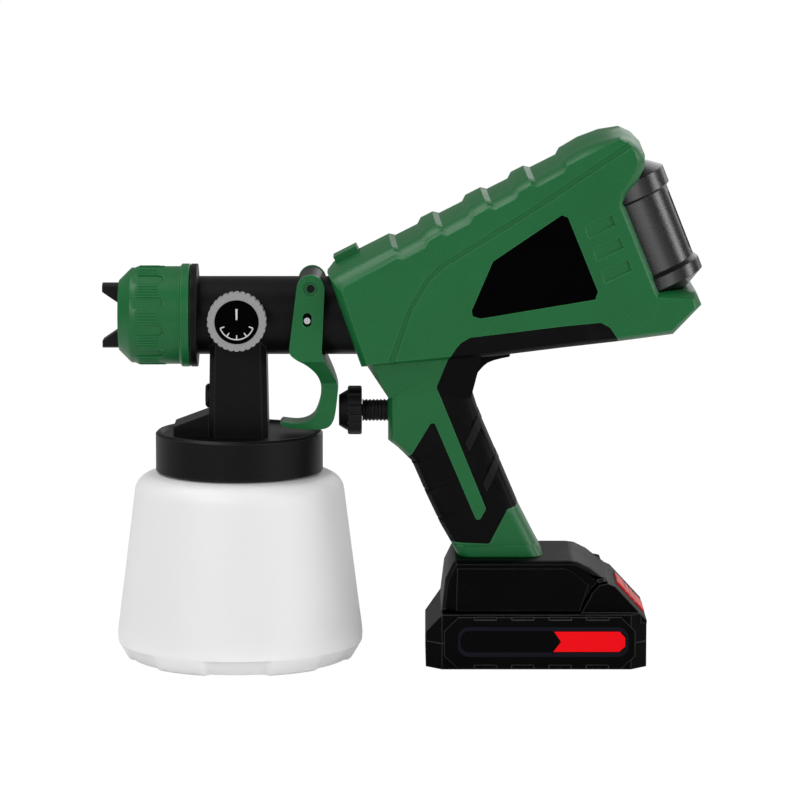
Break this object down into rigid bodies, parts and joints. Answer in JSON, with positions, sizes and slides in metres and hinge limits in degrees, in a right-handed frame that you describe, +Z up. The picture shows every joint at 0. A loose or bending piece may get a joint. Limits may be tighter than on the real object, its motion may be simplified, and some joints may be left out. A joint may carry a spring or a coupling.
{
  "type": "cordless paint sprayer",
  "caption": "Pistol-shaped cordless turbine paint sprayer with a spray nozzle over a screw-on paint cup, trigger, pattern dial, flow wheel and a slide-in battery under the grip.",
  "frame": {"origin": "on the floor under the middle of the whole gun's box", "axes": "+Z up from the floor the gun stands on; +X from the nozzle back to the battery, -X the spray direction; +Y the side away from the pattern dial"},
  "size_m": [0.2984, 0.123, 0.2667],
  "materials": {
    "green_plastic": "fine moulded grain, satin",
    "black_plastic": "fine moulded grain, satin",
    "soft_grip": "matt soft-touch overmould",
    "badge_black": "smooth satin, bare",
    "grey_plastic": "satin",
    "cup_white": "milky, slightly translucent blow moulding",
    "steel": "turned",
    "brass": "turned",
    "copper": "wound wire",
    "magnet": "sintered",
    "board": "lacquered",
    "foam": "open-cell",
    "seal": "matt",
    "red_plastic": "satin",
    "cell_can": "wrapped can"
  },
  "bodies": {
    "body": {"left_housing": "green_plastic", "right_housing": "green_plastic", "left_grip_pad": "soft_grip", "right_grip_pad": "soft_grip", "left_badge": "badge_black", "right_badge": "badge_black", "housing_screws": "steel", "rear_cover": "black_plastic", "air_filter": "foam", "fan_casing": "black_plastic", "motor_can": "steel", "motor_winding": "copper", "motor_bearings": "steel", "motor_mount": "soft_grip", "air_duct": "black_plastic", "control_board": "board", "trigger_switch": "black_plastic", "plunger_bush": "grey_plastic", "plunger_spring": "steel", "release_spring": "steel", "battery_foot": "black_plastic", "terminal_block": "brass"},
    "rotor": {"impeller": "grey_plastic", "motor_shaft": "steel", "motor_magnet": "magnet"},
    "head": {"spray_head": "black_plastic", "valve_cap": "black_plastic", "container_lid": "black_plastic", "lid_gasket": "seal", "fluid_tube": "grey_plastic", "pickup_tube": "cup_white", "pickup_strainer": "grey_plastic", "nozzle_tip": "brass", "nozzle_seal": "seal", "needle_spring": "steel", "needle_guide": "grey_plastic", "packing_nut": "brass", "trigger_pin": "steel"},
    "trigger": {"trigger": "green_plastic"},
    "needle": {"paint_needle": "steel", "needle_pin": "steel"},
    "union_nut": {"union_nut": "green_plastic"},
    "air_cap": {"air_cap": "black_plastic"},
    "dial": {"shape_dial": "grey_plastic", "dial_face": "badge_black", "dial_spindle": "steel"},
    "cup": {"paint_cup": "cup_white"},
    "plunger": {"flow_stem": "black_plastic"},
    "flow_wheel": {"flow_wheel": "black_plastic"},
    "release_button": {"head_release_button": "green_plastic"},
    "battery": {"battery_lower_case": "black_plastic", "battery_upper_case": "black_plastic", "battery_cells": "cell_can", "cell_board": "board", "battery_screws": "steel", "left_battery_frame": "black_plastic", "right_battery_frame": "black_plastic", "button_spring": "steel"},
    "battery_button": {"battery_button": "red_plastic"}
  },
  "joints": [
    {"name": "head_slide", "type": "slide", "parent": "body", "child": "head", "axis": [-1, 0, 0], "range_m": [0, 0.08]},
    {"name": "trigger_pull", "type": "hinge", "parent": "head", "child": "trigger", "pos_m": [-0.0452, 0, 0.1882], "axis": [0, -1, 0], "range_deg": [0, 7], "stiffness_Nm_per_rad": 4},
    {"name": "needle_slide", "type": "slide", "parent": "head", "child": "needle", "axis": [1, 0, 0], "range_m": [0, 0.00192], "deforming": ["needle_spring"]},
    {"name": "nut_turn", "type": "hinge", "parent": "head", "child": "union_nut", "pos_m": [-0.12, 0, 0.1725], "axis": [-1, 0, 0], "continuous": true},
    {"name": "air_cap_turn", "type": "hinge", "parent": "head", "child": "air_cap", "pos_m": [-0.135, 0, 0.1725], "axis": [-1, 0, 0], "range_deg": [0, 90]},
    {"name": "dial_turn", "type": "hinge", "parent": "head", "child": "dial", "pos_m": [-0.0815, -0.025, 0.1725], "axis": [0, -1, 0], "range_deg": [0, 90]},
    {"name": "cup_turn", "type": "hinge", "parent": "head", "child": "cup", "pos_m": [-0.0815, 0, 0.05], "axis": [0, 0, -1], "range_deg": [0, 270]},
    {"name": "plunger_slide", "type": "slide", "parent": "body", "child": "plunger", "axis": [1, 0, 0], "range_m": [0, 0.00685], "deforming": ["plunger_spring"]},
    {"name": "flow_wheel_turn", "type": "hinge", "parent": "plunger", "child": "flow_wheel", "pos_m": [-0.025, 0, 0.1247], "axis": [-1, 0, 0], "range_deg": [-180, 180]},
    {"name": "release_press", "type": "slide", "parent": "body", "child": "release_button", "axis": [0.4518, 0, -0.8921], "range_m": [0, 0.0018], "stiffness_N_per_m": 800, "deforming": ["release_spring"]},
    {"name": "rotor_spin", "type": "hinge", "parent": "body", "child": "rotor", "pos_m": [0.084, 0, 0.1995], "axis": [0.9367, 0, 0.3502], "continuous": true},
    {"name": "battery_slide", "type": "slide", "parent": "body", "child": "battery", "axis": [1, 0, 0], "range_m": [0, 0.09]},
    {"name": "battery_button_press", "type": "slide", "parent": "battery", "child": "battery_button", "axis": [-0.7431, 0, -0.6691], "range_m": [0, 0.0025], "stiffness_N_per_m": 700, "deforming": ["button_spring"]}
  ],
  "couplings": [
    {"joint": "needle_slide", "follows": "trigger_pull", "m_per_rad": 0.0157},
    {"joint": "plunger_slide", "follows": "trigger_pull", "m_per_rad": 0.056}
  ]
}
